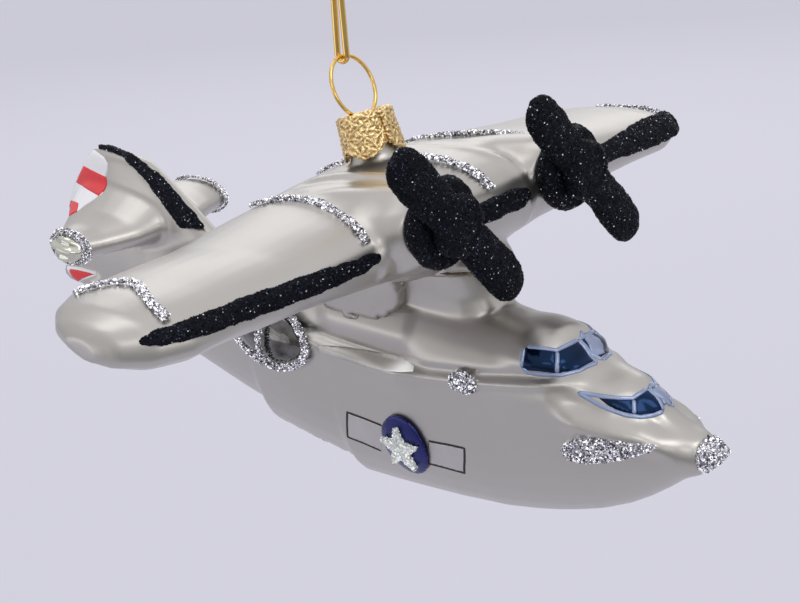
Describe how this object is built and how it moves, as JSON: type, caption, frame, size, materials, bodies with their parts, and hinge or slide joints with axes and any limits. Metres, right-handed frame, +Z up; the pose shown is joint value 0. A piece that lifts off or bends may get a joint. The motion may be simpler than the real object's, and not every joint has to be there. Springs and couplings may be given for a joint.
{
  "type": "glass flying boat ornament",
  "caption": "Silvered blown glass flying boat ornament, with glitter trim, hanging from a gold cap, wire ring and hook.",
  "frame": {"origin": "inside the top bend of the hook, where it hangs on its support", "axes": "+X towards the nose, +Y to port, +Z up"},
  "size_m": [0.1647, 0.1371, 0.1198],
  "materials": {
    "mirror_glass": "bright silvered glass",
    "silver_glitter": "coarse silver glitter",
    "gold_metal": "bright gold, embossed on the cap",
    "black_glitter": "fine black glitter",
    "amber_glue": "clear amber",
    "satin_silver_glass": "satin lacquer over silvered glass",
    "blue_enamel": "glossy enamel",
    "white_glitter": "white glitter"
  },
  "bodies": {
    "hook_body": {"hook": "gold_metal"},
    "ring_body": {"hanging_ring": "gold_metal"},
    "ornament": {"blister_dome_port": "mirror_glass", "blister_dome_starboard": "mirror_glass", "blister_hoop_port": "silver_glitter", "blister_hoop_starboard": "silver_glitter", "cap": "gold_metal", "centre_band_front": "silver_glitter", "centre_band_rear": "silver_glitter", "cheek_patch_port": "silver_glitter", "cheek_patch_starboard": "silver_glitter", "cowling_port": "black_glitter", "cowling_starboard": "black_glitter", "fin_strip": "black_glitter", "glue_bead": "amber_glue", "hull": "satin_silver_glass", "leading_strip_centre": "black_glitter", "leading_strip_port": "black_glitter", "leading_strip_starboard": "black_glitter", "nose_cone": "silver_glitter", "panel_band_port": "silver_glitter", "panel_band_starboard": "silver_glitter", "propeller_port": "black_glitter", "propeller_starboard": "black_glitter", "roundel_port": "blue_enamel", "roundel_starboard": "blue_enamel", "side_bump_port": "silver_glitter", "side_bump_starboard": "silver_glitter", "star_port": "white_glitter", "star_starboard": "white_glitter", "tail_hoop_port": "silver_glitter", "tail_hoop_starboard": "silver_glitter", "tip_band_port": "silver_glitter", "tip_band_starboard": "silver_glitter", "wing": "satin_silver_glass"}
  },
  "joints": [
    {"name": "swing_on_hook", "type": "hinge", "parent": "hook_body", "child": "ring_body", "pos_m": [0, 0, -0.04225], "axis": [1, 0, 0], "range_deg": [-60, 60]},
    {"name": "ring_tilt_in_cap", "type": "hinge", "parent": "ring_body", "child": "ornament", "pos_m": [0.00399, 0, -0.05069], "axis": [0, 1, 0], "range_deg": [-25, 25]}
  ]
}
